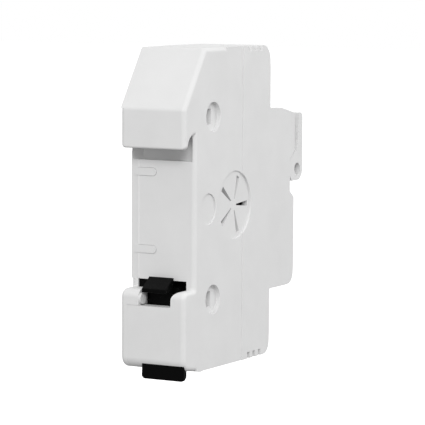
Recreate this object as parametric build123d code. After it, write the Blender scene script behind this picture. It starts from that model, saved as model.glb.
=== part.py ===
from build123d import *
import math
import os

# One-module fuse disconnector for a 35 mm top-hat rail, in millimetres.
# X runs across the module, +Y points to the rail, +Z is up.
# The origin is the middle of the rail seat, on the plane of the rail's flanges.

# Outer form, side view
WIDTH = 17.5             # over the front zone, one module
HEIGHT = 75.3            # twice the top face's height above the rail's middle
BOTTOM_EXTRA = 0.3       # the bottom face lies this much further out than the top face
SEAT_TO_REAR = 5.1       # rail hook and lower block stand behind the seat
SEAT_TO_SHOULDER = 37.15 # shoulders that the panel cover rests on
SEAT_TO_FRONT = 50.0     # front edge of the cheeks
BROW_OUT = 0.4           # the cheeks' upper part stands this far ahead of it
SEAT_TO_HANDLE = 55.0    # foremost face of the handle bar
ZONE_STEP = 0.2          # the front zone of each side stands proud by this
ZONE_START = 23.1        # distance of that step in front of the seat
OUTER_WALL = 2.0         # top, bottom, shoulder and hood walls
RIB = 1.4                # partitions, and the floor under the carrier
EDGE_SHARE = 0.57        # rounding of the rear outline, as a share of the cover's rear thickness
ROUND_END = 15.0         # that rounding ends this far in front of the seat
ROUND_LOW_END = 1.0      # and here along the bottom
CUT_PAST = 1.0           # cutting tools reach this far past a face

# Rail hook, hood and lower block
RAIL_HEIGHT = 35.0       # flange to flange of the rail
FLANGE = 1.0             # thickness of the rail's flanges
HOOK_COVERS = 3.0        # how far the hook reaches down behind the flange
HOOK_CREASE = 9.2        # height of the hook's upright face
HOOD_RUN = 9.8           # the slanted hood face runs this far forward
GROOVE_DROP = 3.0        # the groove under the hook reaches below the hook's lip
GROOVE_DEEP = 0.65
GROOVE_RIM = 0.8         # it leaves this much of the closed side's edge
SEAT_WALL = 2.2
BLOCK_GAP = 0.95         # the lower block's top stays this far under the rail
BLOCK_ROUND = 2.6        # bottom rear corner
HEEL_RUN = 8.2           # the bottom slopes up to that corner over this length
HEEL_RISE = 1.3
BLOCK_TOP_ROUND = 1.9
SHOULDER_ROUND = 3.7     # upper shoulder corner
SHOULDER_ROUND_LOW = 2.9
CROWN = 6.1              # flat top of the front part, measured from the shoulder
BROW_DROP = 1.65         # fall of the sloping top of the cheeks
CHIN_ROUND = 3.0         # lower front corner of the cheeks

# Finger slit and relief in the front edge of the cheeks
SLIT_TOP_TO_BEND = 11.1  # from the front part's top down to the slit's bend
RELIEF = 2.1             # set-back of the cheeks beside the handle's neck
RELIEF_TOP = 9.1
RELIEF_BOTTOM = 1.1

# Rail slider
SLIDER_X = -0.6          # the slider runs a little off the middle
SLIDER_BAR = 10.6        # width of the bar and its pull tab
SLIDER_BAR_THICK = 2.6
SLIDER_SKIN = 3.2        # wall of the lower block behind the bar
SLIDER_PLATE = 11.6      # width of the plate behind the seat wall
SLIDER_PLATE_THICK = 2.2
NOSE = 6.4               # width of the ramped nose
NOSE_SHIFT = 0.3         # the nose stands off the bar's middle
NOSE_GRIP = 2.0          # the nose covers this much of the lower flange
NOSE_FALL = 2.6          # drop of the ramp
NOSE_LIP = 0.95
NOSE_INSET = 0.3         # the nose ends this far inside the rear face
NECK_GAP = 0.45          # the neck that joins bar, nose and plate stays this far under the rail
NECK_TALL = 5.95
TAB_OUT = 2.1            # pull tab below the housing
SLIDER_TRAVEL = 2.4
SLIDE_GAP = 0.15
NOTCH_SIDE = 1.1         # room beside the nose
NOTCH_UNDER = 0.75       # and under it when it is pulled down
NOTCH_ROUND = 2.2
BOSS_RADIUS = 1.3        # small boss on the inner face of the cover's lug
BOSS_OUT = 0.6
BOSS_Z = 1.6             # above the notch's floor
GUIDE_UP = 2.45          # bottom of the slider's guide
WINDOW_UP = 1.0          # the slider's window starts this far above the rail's lower edge
SPRING_RADIUS = 1.0
SPRING_WIRE = 0.25
SPRING_FLOOR = 3.85      # pocket floor above the housing's bottom
SPRING_TURNS = 6

# Side details
SNAP_Y = 8.7             # round recesses of the cover's snap hooks, ahead of the seat
SNAP_Z = 21.5
SNAP_RADIUS = 3.45
SNAP_FLOOR = 0.75        # wall left under the recess
SNAP_SLOT = 2.5
SNAP_SLOT_TALL = 3.6
SNAP_SLOT_BACK = 0.5     # slot centre behind the recess centre
SNAP_GAP = 0.15
SNAP_SHORT = 1.5         # the hook ends this far below the recess
SNAP_PAD = 1.8           # thicker wall round the slot
SNAP_MARGIN = 1.2
TONGUE_Z = 9.1           # flat tongues of the cover let into the seat, above and below
TONGUE_DROP = 0.35       # this point
TONGUE_TALL = 1.85
TONGUE_LONG = 4.85
TONGUE_THICK = 1.25
TONGUE_PROUD = 0.15      # they press on the rail
TONGUE_FIT = 0.05
MARK_Y = 6.3             # plain round recess near the seat
MARK_RADIUS = 3.7
MARK_DEEP = 0.35
VENT_Y = 19.2            # round vent with five tapered slots
VENT_RADIUS = 8.1
VENT_DEEP = 0.3
VENT_SLOTS = 5
VENT_SLOT_IN = 1.4
VENT_SLOT_OUT = 7.0
VENT_SLOT_NARROW = 0.35
VENT_SLOT_WIDE = 1.35
VENT_TURN = -1.0
GRIP_NOTCHES = 3         # small notches in the top and bottom edges
GRIP_FIRST = 26.5
GRIP_PITCH = 2.8
GRIP_WIDE = 1.2
GRIP_DEEP = 1.2
GRIP_IN = 0.9

# Fuse link and its carrier
FUSE_RADIUS = 5.15
FUSE_LENGTH = 38.0
FUSE_END_ROOM = 1.7      # from each end of the link's length to the fuse room's wall
FUSE_DROP = 0.3          # the link sits this far below the middle
CAP_LENGTH = 10.0
CAP_WALL = 0.4
CAP_FLOOR = 0.8
FUSE_BEHIND_PIVOT = 9.7
HUB_RADIUS = 3.2
HUB_SETBACK = 0.4
PIN_RADIUS = 1.6
PIN_SKIN = 0.7           # wall left outside the trunnion bores
PIN_CLEAR = 0.05
RUN_GAP = 0.3            # between moving and fixed mouldings
CHEEK = 1.2              # carrier cheeks beside the fuse tube
CHEEK_CLEAR = 0.05
CHEEK_BACK = 4.4         # the cheeks reach this far behind the carrier's web
CHEEK_BOTTOM = -8.5
CHEEK_TOP = 6.5
FUSE_TO_WEB = 0.45
WEB = 2.4                # upright web of the carrier in front of the fuse
SHELF = 1.0              # ledge that the lower cap stands on
SHELF_BACK = 4.6
SHELF_HALF = 4.8
HEAD = 2.0               # top plate of the carrier
HANDLE_BAR = 2.15
BAR_LEAN = 0.35          # the bar gets this much thicker towards the slit's bend
SLIT_END = 1.25          # width of the slit at its bend
HANDLE_TOP_DROP = 1.7    # bar's top below the front part's top
KNUCKLE_Z = 6.4
KNUCKLE_RADIUS = 2.85
COUPLING_RADIUS = 1.5    # hole for the pin that couples several poles
FACE_SKIN = 1.8          # front skin of the carrier's lower half

# Contacts
STRIP = 0.8              # copper strip
JAW_GAP = 0.1            # jaw to cap
JAW_TALL = 8.0
JAW_FROM_CAP_END = 1.0
JAW_WEB_GAP = 0.5
JAW_LIP = 1.3            # flared lead-in
JAW_FLARE = 0.45
JAW_PAST_AXIS = 4.2      # arms reach this far in front of the fuse axis
STRIP_WIDE = 8.0
CLIP = 0.4               # steel clip round the jaw
CLIP_SLIP = 0.02         # between clip and jaw
CLIP_SIDE = 0.23         # between clip and side wall
CLIP_TALL = 4.0
CLIP_REACH = 1.6
SEAT_CLEAR = 0.1

# Terminals
SCREW_RADIUS = 2.45
SCREW_PITCH = 0.8
HEAD_RADIUS = 3.4
HEAD_THICK = 1.6
HEAD_SINK = 0.2
WELL_CLEAR = 0.3
CLAMP_TRAVEL = 3.9
STOP_GAP = 0.1
CAGE = 1.5
CAGE_SIDE = 1.2
CAGE_TALL = 8.0
CAGE_ROOM = 4.5          # half width inside the cage
LEDGE_CLEAR = 0.3        # between the strip and the ledges under the cage
THREAD_CLEAR = 0.05
PLATE = 1.2
PLATE_GAP = 0.3
TIP_GAP = 0.05
WIRE_GAP = 4.6
WIRE_RADIUS = 2.25       # wire entry in the top and bottom faces
WIRE_FUNNEL = 0.6

# Places worked out from the sizes above
half_x = WIDTH / 2
rear_half_x = half_x - ZONE_STEP
seam_x = FUSE_RADIUS + JAW_GAP + STRIP + CLIP_SLIP + CLIP + CLIP_SIDE
wall_x = -seam_x
side_wall = half_x - seam_x
top_z = HEIGHT / 2
bottom_z = -top_z - BOTTOM_EXTRA
room_z = FUSE_LENGTH / 2 + FUSE_END_ROOM
front_z = room_z + RIB
rail_z = RAIL_HEIGHT / 2
lip_z = rail_z - HOOK_COVERS
crease_z = lip_z + HOOK_CREASE
block_z = -rail_z - BLOCK_GAP
rear_y = SEAT_TO_REAR
shoulder_y = -SEAT_TO_SHOULDER
front_y = -SEAT_TO_FRONT
handle_y = -SEAT_TO_HANDLE
zone_y = -ZONE_START
round_y = -ROUND_END
hood_top_y = rear_y - HOOD_RUN
brow_y = front_y - BROW_OUT
bend_z = front_z - SLIT_TOP_TO_BEND

# Side-view helpers


def side_face(corners):
    """Face in the side view from (y, z, corner radius) triples."""
    points = [(y, z) for y, z, _ in corners]
    radii = [r for _, _, r in corners]
    return make_face(FilletPolyline(*points, radius=radii, close=True))


def slab(corners, x0, x1):
    """A side-view outline given its thickness across the module."""
    return extrude(Plane.YZ.offset(x0) * side_face(corners), amount=x1 - x0)


def block(x0, x1, y0, y1, z0, z1):
    """A plain block between two opposite corners."""
    centre = Pos((x0 + x1) / 2, (y0 + y1) / 2, (z0 + z1) / 2)
    return centre * Box(abs(x1 - x0), abs(y1 - y0), abs(z1 - z0))


def rod_x(y, z, radius, x0, x1):
    """A round bar across the module."""
    return Pos((x0 + x1) / 2, y, z) * Rot(0, 90, 0) * Cylinder(radius, abs(x1 - x0))


def rod_y(x, z, radius, y0, y1):
    """A round bar from rear to front."""
    return Pos(x, (y0 + y1) / 2, z) * Rot(90, 0, 0) * Cylinder(radius, abs(y1 - y0))


def flipped(shape):
    """The same form below the middle of the module."""
    return mirror(shape, about=Plane.XY)


def one(shape):
    """The single solid of a finished piece."""
    solids = shape.solids()
    assert len(solids) == 1, "a piece came apart"
    return solids[0]


# Carrier pivot, fuse axis and terminal stack, from front to rear

pivot_y = front_y + HUB_SETBACK + HUB_RADIUS
pivot_z = -front_z + RIB + RUN_GAP + HUB_RADIUS
fuse_y = pivot_y + FUSE_BEHIND_PIVOT
fuse_top_z = FUSE_LENGTH / 2 - FUSE_DROP
fuse_low_z = -FUSE_LENGTH / 2 - FUSE_DROP
carrier_half = seam_x - RUN_GAP
bore_end_x = half_x - PIN_SKIN
web_back_y = fuse_y - FUSE_RADIUS - FUSE_TO_WEB
web_front_y = web_back_y - WEB
jaw_web_y = fuse_y + FUSE_RADIUS + JAW_WEB_GAP
jaw_low_z = FUSE_LENGTH / 2 - JAW_FROM_CAP_END - FUSE_DROP - JAW_TALL
jaw_top_z = jaw_low_z + JAW_TALL
terminal_z = (front_z + top_z) / 2
head_back_y = shoulder_y + HEAD_SINK + HEAD_THICK
cage_front_y = head_back_y + CLAMP_TRAVEL + STOP_GAP
plate_front_y = cage_front_y + CAGE + PLATE_GAP
plate_back_y = plate_front_y + PLATE
tongue_front_y = plate_back_y + WIRE_GAP
tongue_back_y = tongue_front_y + STRIP
cage_back_y = tongue_back_y + SEAT_CLEAR + CAGE
stay_y = cage_back_y + SEAT_CLEAR
wire_y = (plate_back_y + tongue_front_y) / 2

# Slider places
bar_rear_y = rear_y - SLIDER_SKIN - SLIDE_GAP
bar_front_y = bar_rear_y - SLIDER_BAR_THICK
slide_back_y = -SEAT_WALL - SLIDE_GAP
snap_slot_y = -SNAP_Y + SNAP_SLOT_BACK
slide_front_y = slide_back_y - SLIDER_PLATE_THICK
nose_top_z = -rail_z + NOSE_GRIP
nose_front_y = FLANGE + SLIDE_GAP
nose_rear_y = rear_y - NOSE_INSET
nose_lip_z = nose_top_z - NOSE_FALL
nose_low_z = nose_lip_z - NOSE_LIP
throat_z = -rail_z - NECK_GAP
link_low_z = throat_z - NECK_TALL
notch_z = nose_low_z - SLIDER_TRAVEL - NOTCH_UNDER
spring_low_z = -top_z + SPRING_FLOOR
spring_long = link_low_z - spring_low_z
spring_y = (slide_back_y + slide_front_y) / 2
pocket_front_y = min(slide_front_y, spring_y - SPRING_RADIUS - SPRING_WIRE) - SLIDE_GAP
pocket_top_z = nose_top_z + NOSE_GRIP
plate_top_z = pocket_top_z - NOSE_GRIP / 2
window_z = -rail_z + WINDOW_UP
slider_wall_y = pocket_front_y - RIB
notch_left_x = SLIDER_X + NOSE / 2 + NOTCH_SIDE
notch_right_x = SLIDER_X - NOSE / 2 - NOTCH_SIDE


def outline():
    """Side outline of the housing: hook, hood, shoulders, cheeks, lower block and rail seat."""
    scoop = HOOK_COVERS
    return [
        (scoop, lip_z, 0),
        (rear_y, lip_z, 0.5),
        (rear_y, crease_z, 1.5),
        (hood_top_y, top_z, 1.2),
        (shoulder_y, top_z, SHOULDER_ROUND),
        (shoulder_y, front_z, 0.3),
        (shoulder_y - CROWN, front_z, 6.0),
        (brow_y, front_z - BROW_DROP, 0.4),
        (brow_y, bend_z, 0.3),
        (front_y + RELIEF, RELIEF_TOP, 0.3),
        (front_y + RELIEF, RELIEF_BOTTOM, 0.3),
        (front_y, RELIEF_BOTTOM - RELIEF * 0.75, 0.3),
        (front_y, -front_z, CHIN_ROUND),
        (shoulder_y, -front_z, 0.3),
        (shoulder_y, bottom_z, SHOULDER_ROUND_LOW),
        (rear_y - HEEL_RUN, bottom_z, BLOCK_ROUND * 3),
        (rear_y, bottom_z + HEEL_RISE, BLOCK_ROUND),
        (rear_y, block_z, BLOCK_TOP_ROUND),
        (0, block_z, 0.3),
        (0, lip_z + scoop, 0),
        (scoop, lip_z + scoop, scoop - 0.02),
    ]


def rounded_side(x_in, x_out, zones):
    """Part of the housing from an inner plane to a side, its rear outline rounded in some zones."""
    away = 1 if x_out > x_in else -1
    zone_x = x_out - away * ZONE_STEP
    full = slab(outline(), min(x_in, zone_x), max(x_in, zone_x))
    span = HEIGHT + SEAT_TO_HANDLE
    rear_half = block(-WIDTH, WIDTH, round_y, span, -span, span)
    rear = full & rear_half
    front = full - rear_half
    side = rear.faces().sort_by(Axis.X)[-1 if away > 0 else 0]
    rims = [e for e in side.outer_wire().edges() if abs(e.center().Y - round_y) > 0.01]
    soft = fillet(rims, EDGE_SHARE * (side_wall - ZONE_STEP))
    for y0, z0, z1 in zones:
        zone = block(-WIDTH, WIDTH, y0, span, z0, z1)
        rear = (rear - zone) + (soft & zone)
    skin = slab(outline(), min(zone_x, x_out), max(zone_x, x_out))
    skin = skin & block(-WIDTH, WIDTH, -span, zone_y, -span, span)
    return rear + front + skin


def vent_cut(x_face, away):
    """Shallow round recess with tapered slots right through the wall."""
    floor_x = x_face - away * VENT_DEEP
    cut = rod_x(-VENT_Y, 0, VENT_RADIUS, floor_x, x_face + away * CUT_PAST)
    inner, outer = VENT_SLOT_NARROW / 2, VENT_SLOT_WIDE / 2
    near, far = VENT_SLOT_IN, VENT_SLOT_OUT
    for k in range(VENT_SLOTS):
        corners = [(near, -inner), (far, -outer), (far, outer), (near, inner)]
        turn = 180 - VENT_TURN - k * 360 / VENT_SLOTS
        wedge = Rot(0, 0, turn) * make_face(Polyline(*corners, close=True))
        depth = side_wall + CUT_PAST
        plane = Plane.YZ.offset(floor_x - (depth if away > 0 else 0))
        cut += extrude(plane * Pos(-VENT_Y, 0) * wedge, amount=depth)
    return cut


def grip_cuts(x_face, away):
    """Small notches across the side's top and bottom edges."""
    cuts = Part()
    for k in range(GRIP_NOTCHES):
        y = -GRIP_FIRST - k * GRIP_PITCH
        notch = block(x_face - away * GRIP_IN, x_face + away, y - GRIP_WIDE / 2, y + GRIP_WIDE / 2,
                      top_z - GRIP_DEEP, top_z + GRIP_DEEP)
        cuts += notch + flipped(notch)
    return cuts


def housing_body():
    """Main shell: one side wall with all the outer walls and partitions, open towards the cover."""
    low = (-ROUND_LOW_END, -2 * top_z, -rail_z - CUT_PAST)
    shell = rounded_side(seam_x, -half_x, [low, (round_y, -rail_z - CUT_PAST, 2 * top_z)])
    past = seam_x + CUT_PAST

    # Fuse room, open at the front, stepped forward round the slider's pocket
    room_back = -SEAT_WALL
    slider_top = pocket_top_z + RIB
    fuse_room = [
        (handle_y - CUT_PAST, -room_z, 0), (handle_y - CUT_PAST, front_z + CUT_PAST, 0),
        (shoulder_y, front_z + CUT_PAST, 0), (shoulder_y, room_z, 0),
        (room_back - GROOVE_DEEP, room_z, 1.0), (room_back - GROOVE_DEEP, slider_top, 0.5),
        (slider_wall_y, slider_top, 0.5), (slider_wall_y, -room_z, 1.0),
    ]
    shell -= slab(fuse_room, wall_x, past)

    # Terminal rooms with their screw wells and wire entries
    terminal_room = block(wall_x, past, shoulder_y + OUTER_WALL, stay_y, front_z, top_z - OUTER_WALL)
    well = rod_y(0, terminal_z, HEAD_RADIUS + WELL_CLEAR,
                 shoulder_y - CUT_PAST, shoulder_y + OUTER_WALL + CUT_PAST)
    wire = Pos(0, wire_y, top_z - OUTER_WALL / 2) * Cylinder(WIRE_RADIUS, OUTER_WALL + CUT_PAST)
    funnel = Cone(WIRE_RADIUS, WIRE_RADIUS + WIRE_FUNNEL, WIRE_FUNNEL)
    funnel = Pos(0, wire_y, top_z - WIRE_FUNNEL / 2) * funnel
    strip_slot = block(-STRIP_WIDE / 2 - SEAT_CLEAR, STRIP_WIDE / 2 + SEAT_CLEAR,
                       jaw_web_y - SEAT_CLEAR, jaw_web_y + STRIP + SEAT_CLEAR,
                       room_z - CUT_PAST, front_z + CUT_PAST)
    for cut in (terminal_room, well, wire, strip_slot):
        shell -= cut + flipped(cut)
    shell -= funnel + Pos(0, 0, -BOTTOM_EXTRA) * flipped(funnel)

    # Hollow hood above the hook, and the space below it in the lower block
    slope = math.hypot(HOOD_RUN, top_z - crease_z)
    lean = HOOD_RUN / (top_z - crease_z)
    hood_y = rear_y - OUTER_WALL * slope / (top_z - crease_z)
    hood_z = top_z - OUTER_WALL
    hood = [
        (stay_y + RIB, front_z, 0), (hood_y - (front_z - crease_z) * lean, front_z, 0),
        (hood_y - (hood_z - crease_z) * lean, hood_z, 0.5), (stay_y + RIB, hood_z, 0.5),
    ]
    shell -= slab(hood, wall_x, past)
    shell -= block(wall_x, past, stay_y + RIB, slider_wall_y, -top_z + OUTER_WALL, -front_z)

    # Groove behind the hook, up to the edge of the closed side
    shell -= block(GROOVE_RIM - rear_half_x, past, -GROOVE_DEEP, CUT_PAST, lip_z - GROOVE_DROP, rail_z)

    # Slider channel, its window in the seat, and the notch in the lower block
    bar_side = SLIDER_X - SLIDER_BAR / 2 - SLIDE_GAP
    plate_side = SLIDER_X - SLIDER_PLATE / 2 - SLIDE_GAP
    shell -= block(bar_side, past, bar_front_y - SLIDE_GAP, bar_rear_y + SLIDE_GAP,
                   -top_z - CUT_PAST, notch_z)
    shell -= block(plate_side, past, pocket_front_y, -SEAT_WALL, spring_low_z, pocket_top_z)
    shell -= block(notch_right_x, past, slide_back_y, bar_rear_y,
                   link_low_z - SLIDER_TRAVEL - SLIDE_GAP, block_z)
    shell -= block(plate_side + 2 * SLIDE_GAP, past, slide_back_y, CUT_PAST, block_z, window_z)
    notch = Plane.XZ * make_face(FilletPolyline(
        (notch_right_x - NOTCH_ROUND, block_z), (notch_right_x, block_z), (notch_right_x, notch_z),
        (past, notch_z), (past, block_z + CUT_PAST), (notch_right_x - NOTCH_ROUND, block_z + CUT_PAST),
        radius=[0, NOTCH_ROUND - 0.02, 0.4, 0, 0, 0], close=True))
    notch = extrude(notch, amount=-rear_y - CUT_PAST)
    shell -= notch
    deep = block(plate_side + 2 * SLIDE_GAP, past, slide_back_y, CUT_PAST, notch_z, block_z)
    shell -= Pos(0, slide_back_y, 0) * notch & deep

    # Trunnion hole, vent, snap recesses, plain round recess and edge notches
    shell -= rod_x(pivot_y, pivot_z, PIN_RADIUS + PIN_CLEAR, -bore_end_x, wall_x + CUT_PAST)
    shell -= vent_cut(-rear_half_x, -1)
    recess = rod_x(-SNAP_Y, SNAP_Z, SNAP_RADIUS, -half_x - CUT_PAST, wall_x - SNAP_FLOOR)
    deep, tall = SNAP_SLOT / 2, SNAP_SLOT_TALL / 2
    slot = block(-half_x - CUT_PAST, past, snap_slot_y - deep, snap_slot_y + deep,
                 SNAP_Z - tall, SNAP_Z + tall)
    deep, tall = deep + SNAP_MARGIN, tall + SNAP_MARGIN
    pad = block(wall_x, wall_x + SNAP_PAD, snap_slot_y - deep, snap_slot_y + deep,
                SNAP_Z - tall, SNAP_Z + tall)
    shell += pad + flipped(pad)
    shell -= recess + flipped(recess)
    shell -= slot + flipped(slot)
    shell -= rod_x(-MARK_Y, 0, MARK_RADIUS, -half_x - CUT_PAST, -rear_half_x + MARK_DEEP)
    shell -= grip_cuts(-half_x, -1)

    # Flat pockets in the seat for the cover's tongues
    for z in (TONGUE_Z, -TONGUE_Z):
        shell -= tongue(z - TONGUE_DROP, TONGUE_FIT, CUT_PAST)

    # Posts that the jaws lean on
    post_y = jaw_web_y + STRIP + CLIP + 2 * SEAT_CLEAR
    post = block(wall_x, seam_x, post_y, post_y + RIB, jaw_low_z, room_z)
    shell += post + flipped(post)

    # Ledges on either side of the strip that the terminal cages stand on
    for side in (-1, 1):
        ledge = block(side * (STRIP_WIDE / 2 + LEDGE_CLEAR), side * seam_x, cage_front_y, stay_y,
                      front_z, terminal_z - CAGE_TALL / 2)
        shell += ledge + flipped(ledge)
    return one(shell)


def tongue(z, grow, proud):
    """Pill-shaped tongue of the cover, or the pocket for it when grown."""
    tall = TONGUE_TALL + 2 * grow
    start = seam_x - TONGUE_LONG - grow
    front = -TONGUE_THICK - grow
    pill = block(start + tall / 2, seam_x + CUT_PAST, front, proud, z - tall / 2, z + tall / 2)
    pill += rod_y(start + tall / 2, z, tall / 2, front, proud)
    return pill


def housing_cover():
    """Side cover with its lug behind the slider, two seat tongues and two snap hooks."""
    low = (-ROUND_LOW_END, -2 * top_z, -rail_z + CUT_PAST)
    cover = rounded_side(seam_x, half_x, [low, (round_y, lip_z - CUT_PAST, crease_z)])
    cover -= block(seam_x - CUT_PAST, half_x + CUT_PAST, -GROOVE_DEEP, CUT_PAST,
                   lip_z - GROOVE_DROP, rail_z)
    lug = block(notch_left_x, seam_x + side_wall / 2, 0, rear_y, notch_z, block_z)
    lug = fillet(lug.edges().filter_by(Axis.X).sort_by(Axis.Z)[-2:].sort_by(Axis.Y)[-1:], BLOCK_TOP_ROUND)
    cover += lug
    cover += rod_x(rear_y - BOSS_RADIUS, notch_z + BOSS_Z, BOSS_RADIUS,
                   notch_left_x - BOSS_OUT, notch_left_x + BOSS_OUT)
    guide = block(SLIDER_X + SLIDER_BAR / 2 + SLIDE_GAP, seam_x + side_wall / 2, bar_front_y, bar_rear_y,
                  -top_z + GUIDE_UP, notch_z - SLIDE_GAP)
    cover += guide
    for z in (TONGUE_Z, -TONGUE_Z):
        cover += tongue(z - TONGUE_DROP, 0, TONGUE_PROUD)
    deep, tall = SNAP_SLOT / 2 - SNAP_GAP, SNAP_SLOT_TALL / 2 - SNAP_GAP
    hook = block(wall_x - SNAP_FLOOR + SNAP_SHORT, seam_x + side_wall / 2,
                 snap_slot_y - deep, snap_slot_y + deep, SNAP_Z - tall, SNAP_Z + tall)
    cover += hook + flipped(hook)
    cover -= rod_x(pivot_y, pivot_z, PIN_RADIUS + PIN_CLEAR, seam_x - CUT_PAST, bore_end_x)
    cover -= vent_cut(rear_half_x, 1)
    cover -= grip_cuts(half_x, 1)
    return one(cover)


def rail_slider():
    """Black slider: bar with pull tab, ramped nose behind the rail, plate behind the seat wall."""
    x0, x1 = SLIDER_X - SLIDER_BAR / 2, SLIDER_X + SLIDER_BAR / 2
    bar = block(x0, x1, bar_front_y, bar_rear_y, -top_z - TAB_OUT, notch_z - SLIDE_GAP)
    bar = fillet(bar.edges().filter_by(Axis.Y).sort_by(Axis.Z)[:2], 0.8)
    x0, x1 = SLIDER_X + NOSE_SHIFT - NOSE / 2, SLIDER_X + NOSE_SHIFT + NOSE / 2
    nose = slab([
        (nose_front_y, nose_top_z, 0.2), (nose_rear_y, nose_lip_z, 0.3), (nose_rear_y, nose_low_z, 0.3),
        (bar_rear_y, nose_low_z, 0), (bar_rear_y, notch_z - CUT_PAST, 0),
        (nose_front_y, notch_z - CUT_PAST, 0),
    ], x0, x1)
    x0, x1 = notch_right_x + SLIDE_GAP, notch_left_x - SLIDE_GAP
    neck = block(x0, x1, slide_front_y, nose_front_y, link_low_z, throat_z)
    x0, x1 = SLIDER_X - SLIDER_PLATE / 2, seam_x - SLIDE_GAP
    plate = block(x0, x1, slide_front_y, slide_back_y, link_low_z, plate_top_z)
    shoulder = block(notch_left_x - SLIDE_GAP, x1, slide_back_y, -SLIDE_GAP,
                     nose_low_z, window_z - SLIDE_GAP)
    return one(bar + nose + neck + plate + shoulder)


def slider_spring():
    """Coil between the slider's plate and the floor of its pocket."""
    rise = spring_long - 2 * SPRING_WIRE
    helix = Helix(pitch=rise / SPRING_TURNS, height=rise, radius=SPRING_RADIUS)
    section = Plane(helix @ 0, z_dir=helix % 0) * Rectangle(2 * SPRING_WIRE, 2 * SPRING_WIRE)
    coil = sweep(section, path=helix, is_frenet=True)
    return one(Pos(SLIDER_X, spring_y, spring_low_z + SPRING_WIRE) * coil)


def fuse_carrier():
    """Swing-out carrier: hub with trunnions, web, cheeks round the fuse, top plate and handle bar."""
    half = carrier_half
    face_y = front_y + HUB_SETBACK
    bar_back_y = handle_y + HANDLE_BAR
    neck_back_y = front_y + RELIEF - RUN_GAP
    neck_z = RELIEF_TOP - SLIDE_GAP

    # Lower half: rounded hub below, front skin, hollow behind
    lower = slab([
        (web_back_y, pivot_z, 0), (web_back_y, neck_z, 0), (face_y, neck_z, 0), (face_y, pivot_z, 0),
    ], -half, half)
    lower += rod_x(pivot_y, pivot_z, HUB_RADIUS, -half, half)
    lower -= block(-half + CHEEK, half - CHEEK, face_y + FACE_SKIN, web_back_y - WEB / 2,
                   pivot_z + HUB_RADIUS, KNUCKLE_Z - RUN_GAP)

    # Web, top plate and the ledge under the lower cap
    web = block(-half, half, web_front_y, web_back_y, pivot_z, front_z - RUN_GAP)
    head = block(-half, half, web_front_y, shoulder_y - RUN_GAP,
                 front_z - RUN_GAP - HEAD, front_z - RUN_GAP)
    shelf = block(-SHELF_HALF, SHELF_HALF, web_back_y - WEB, web_back_y + SHELF_BACK,
                  fuse_low_z - SHELF, fuse_low_z)
    carrier = lower + web + head + shelf

    # Cheeks on either side of the fuse tube
    cheek_in = FUSE_RADIUS + CHEEK_CLEAR
    for side in (-1, 1):
        carrier += block(side * cheek_in, side * half, web_back_y - WEB / 2,
                         web_back_y + CHEEK_BACK + FUSE_TO_WEB, CHEEK_BOTTOM, CHEEK_TOP)

    # Handle bar over the full width, with its neck and the coupling hole
    bar = slab([
        (handle_y, KNUCKLE_Z - KNUCKLE_RADIUS, KNUCKLE_RADIUS - 0.1),
        (handle_y, front_z - HANDLE_TOP_DROP, 1.3),
        (bar_back_y, front_z - HANDLE_TOP_DROP, 0.3), (bar_back_y + BAR_LEAN, bend_z + 2 * SLIT_END, 1.0),
        (brow_y - SLIT_END, bend_z, 0.3), (brow_y - SLIDE_GAP, bend_z - RUN_GAP, 0.2),
        (neck_back_y, neck_z, 0.2),
        (neck_back_y, KNUCKLE_Z - KNUCKLE_RADIUS / 2, 0.4),
        (handle_y + 2 * KNUCKLE_RADIUS, KNUCKLE_Z - KNUCKLE_RADIUS, 0.8),
    ], -rear_half_x, rear_half_x)
    knuckle_y = handle_y + KNUCKLE_RADIUS
    carrier += bar
    carrier -= rod_x(knuckle_y, KNUCKLE_Z, COUPLING_RADIUS, -WIDTH, WIDTH)
    carrier += rod_x(pivot_y, pivot_z, PIN_RADIUS, -bore_end_x + SLIDE_GAP, bore_end_x - SLIDE_GAP)
    return one(carrier)


def fuse_cap():
    """Plated cup pressed over the upper end of the fuse tube."""
    outer = Pos(0, fuse_y, fuse_top_z - CAP_LENGTH / 2) * Cylinder(FUSE_RADIUS, CAP_LENGTH)
    outer = chamfer(outer.edges().sort_by(Axis.Z)[-1:], CAP_WALL)
    bore_long = CAP_LENGTH - CAP_FLOOR
    bore = Cylinder(FUSE_RADIUS - CAP_WALL, bore_long)
    return outer - Pos(0, fuse_y, fuse_top_z - CAP_FLOOR - bore_long / 2) * bore


def fuse_tube():
    """Ceramic tube filled with sand, solid for this purpose, stepped down under the caps."""
    middle = fuse_top_z - FUSE_LENGTH / 2
    tube = Pos(0, fuse_y, middle) * Cylinder(FUSE_RADIUS - CAP_WALL, FUSE_LENGTH - 2 * CAP_FLOOR)
    barrel = Pos(0, fuse_y, middle) * Cylinder(FUSE_RADIUS - CAP_WALL / 2, FUSE_LENGTH - 2 * CAP_LENGTH)
    return one(tube + barrel)


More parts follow.
